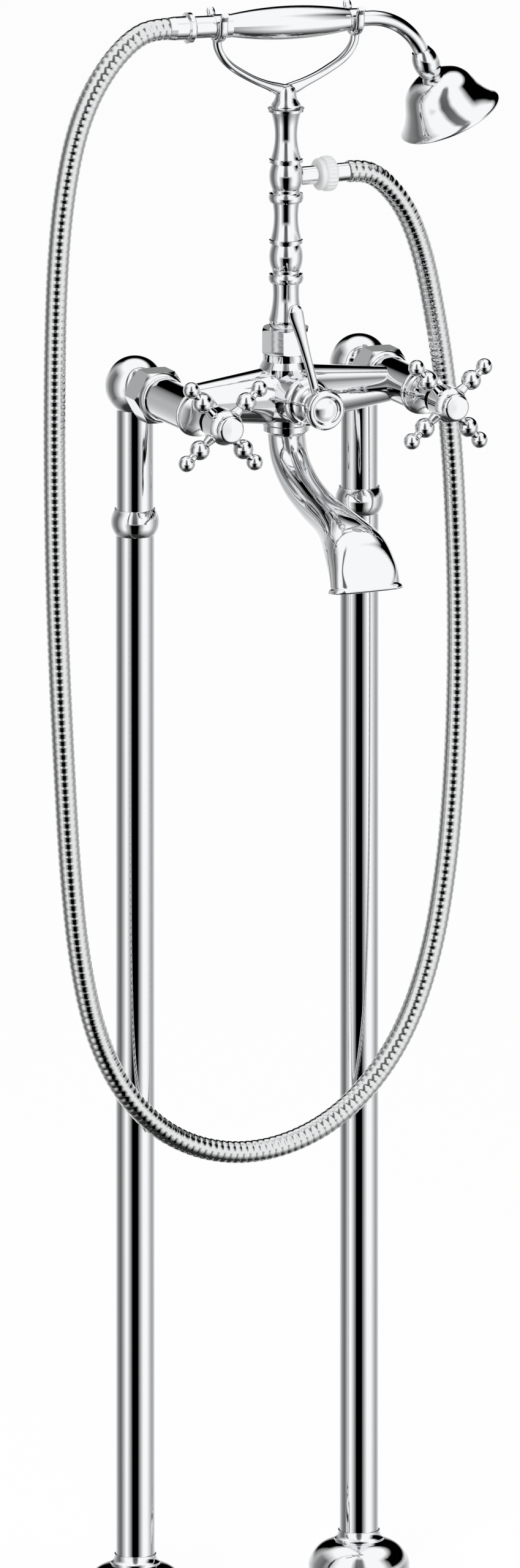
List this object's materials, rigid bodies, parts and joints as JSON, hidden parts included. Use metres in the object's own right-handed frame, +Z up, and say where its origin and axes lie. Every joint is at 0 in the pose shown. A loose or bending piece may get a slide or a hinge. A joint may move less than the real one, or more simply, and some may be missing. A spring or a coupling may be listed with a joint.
{
  "type": "floor standing bath filler",
  "caption": "Floor standing bath filler: two standpipes, mixer body with cross handles, lever diverter, curved spout, turned riser, cradle and hand shower on a looped hose.",
  "frame": {"origin": "on the floor, midway between the axes of the two standpipes, which is the centre of the four floor screw holes", "axes": "+Z up, +X along the line of the standpipes to the right as seen from the front, -Y towards the front, where the spout and the handles are"},
  "size_m": [0.3003, 0.2145, 1.001],
  "materials": {
    "polished_chrome": "polished",
    "hose_metal": "ribbed, polished",
    "satin_white": "satin",
    "satin_grey": "satin",
    "bare_brass": "machined",
    "stainless_steel": "machined",
    "ceramic": "lapped",
    "sealing_rubber": "moulded"
  },
  "bodies": {
    "filler": {"cartridge_seals": "sealing_rubber", "cradle": "polished_chrome", "diverter_bonnet": "polished_chrome", "fixed_discs": "ceramic", "hose_outlet": "polished_chrome", "left_bonnet": "polished_chrome", "left_cartridge": "bare_brass", "left_cover_collar": "polished_chrome", "left_elbow": "polished_chrome", "left_flange_cover": "polished_chrome", "left_floor_flange": "bare_brass", "left_joint_ring": "polished_chrome", "left_lower_tube": "polished_chrome", "left_supply_pipe": "bare_brass", "left_union_nut": "polished_chrome", "left_upper_tube": "polished_chrome", "mixer_body": "polished_chrome", "outlet_ferrule": "polished_chrome", "outlet_nut": "satin_white", "outlet_washer": "sealing_rubber", "right_bonnet": "polished_chrome", "right_cartridge": "bare_brass", "right_cover_collar": "polished_chrome", "right_elbow": "polished_chrome", "right_flange_cover": "polished_chrome", "right_floor_flange": "bare_brass", "right_joint_ring": "polished_chrome", "right_lower_tube": "polished_chrome", "right_supply_pipe": "bare_brass", "right_union_nut": "polished_chrome", "right_upper_tube": "polished_chrome", "riser_column": "polished_chrome", "riser_nut": "polished_chrome", "riser_washer": "sealing_rubber", "shower_hose": "hose_metal", "spout": "polished_chrome", "spout_collar": "polished_chrome", "union_washers": "sealing_rubber"},
    "left_handle": {"left_spindle": "bare_brass", "left_moving_disc": "ceramic", "left_cross_handle": "polished_chrome", "left_handle_cap": "polished_chrome", "left_handle_screw": "stainless_steel"},
    "right_handle": {"right_spindle": "bare_brass", "right_moving_disc": "ceramic", "right_cross_handle": "polished_chrome", "right_handle_cap": "polished_chrome", "right_handle_screw": "stainless_steel"},
    "diverter": {"diverter_spindle": "bare_brass", "diverter_disc": "bare_brass", "diverter_lever": "polished_chrome", "diverter_knob": "polished_chrome"},
    "handset": {"handset_grip": "polished_chrome", "handset_tail": "polished_chrome", "handset_hose_nut": "polished_chrome", "handset_ferrule": "bare_brass", "handset_neck": "polished_chrome", "rose_nut": "polished_chrome", "rose_bell": "polished_chrome", "rose_faceplate": "satin_grey"}
  },
  "joints": [
    {"name": "left_handle_turn", "type": "hinge", "parent": "filler", "child": "left_handle", "pos_m": [-0.075, -0.1275, 0.76], "axis": [0, -1, 0], "range_deg": [0, 90]},
    {"name": "right_handle_turn", "type": "hinge", "parent": "filler", "child": "right_handle", "pos_m": [0.075, -0.1275, 0.76], "axis": [0, 1, 0], "range_deg": [0, 90]},
    {"name": "diverter_turn", "type": "hinge", "parent": "filler", "child": "diverter", "pos_m": [0, -0.105, 0.76], "axis": [0, 1, 0], "range_deg": [0, 90]},
    {"name": "handset_lift", "type": "slide", "parent": "filler", "child": "handset", "axis": [0.0401, 0, 0.9992], "range_m": [0, 0.06]}
  ]
}
